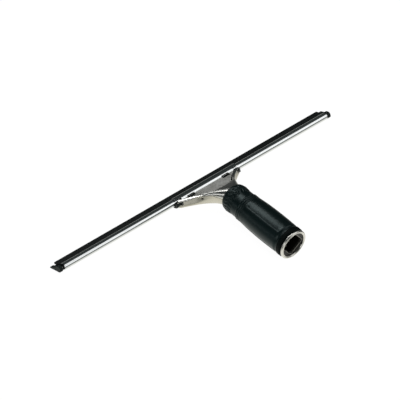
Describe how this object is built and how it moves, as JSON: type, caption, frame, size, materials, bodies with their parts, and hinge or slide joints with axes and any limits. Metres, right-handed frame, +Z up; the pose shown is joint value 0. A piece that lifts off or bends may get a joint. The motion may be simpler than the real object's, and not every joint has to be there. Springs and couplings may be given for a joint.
{
  "type": "window cleaning squeegee",
  "caption": "T-shaped squeegee: a long rubber blade in a steel channel, clamped in the spring-loaded jaw of a bent steel handle with a rubber grip and a tapered pole socket.",
  "frame": {"origin": "centre of the bounding box, on the surface the squeegee lies on", "axes": "+X along the blade, +Y towards the rubber's edge, +Z up; the grip points to -Y"},
  "size_m": [0.3608, 0.1408, 0.0338],
  "materials": {
    "polished_steel": "polished stainless steel with fine drawn lines",
    "satin_steel": "satin stainless steel",
    "spring_steel": "drawn wire and plain turned pin",
    "blade_rubber": "smooth matt black",
    "grip_rubber": "moulded, very dark blue-green",
    "black_plastic": "moulded black"
  },
  "bodies": {
    "handle": {"lower_pan": "satin_steel", "upper_saddle": "polished_steel", "jaw_liner": "black_plastic", "hinge_pin": "spring_steel", "spring_left": "spring_steel", "spring_right": "spring_steel", "handle_tube": "polished_steel", "rubber_grip": "grip_rubber", "pole_socket": "black_plastic"},
    "lever": {"clamp_lever": "satin_steel"},
    "blade": {"channel": "polished_steel", "rubber_blade": "blade_rubber"},
    "left_clip": {"end_clip_left": "black_plastic"},
    "right_clip": {"end_clip_right": "black_plastic"}
  },
  "joints": [
    {"name": "lever_hinge", "type": "hinge", "parent": "handle", "child": "lever", "pos_m": [0.0143, 0.04965, 0.00718], "axis": [1, 0, 0], "range_deg": [0, 14], "stiffness_Nm_per_rad": 0.6, "springref_deg": -20.05, "deforming": ["spring_left", "spring_right"]},
    {"name": "blade_slide", "type": "slide", "parent": "handle", "child": "blade", "axis": [1, 0, 0], "range_m": [-0.107, 0.133]},
    {"name": "left_clip_slide", "type": "slide", "parent": "blade", "child": "left_clip", "axis": [-1, 0, 0], "range_m": [-0.0032, 0.018]},
    {"name": "right_clip_slide", "type": "slide", "parent": "blade", "child": "right_clip", "axis": [1, 0, 0], "range_m": [0, 0.018]}
  ]
}
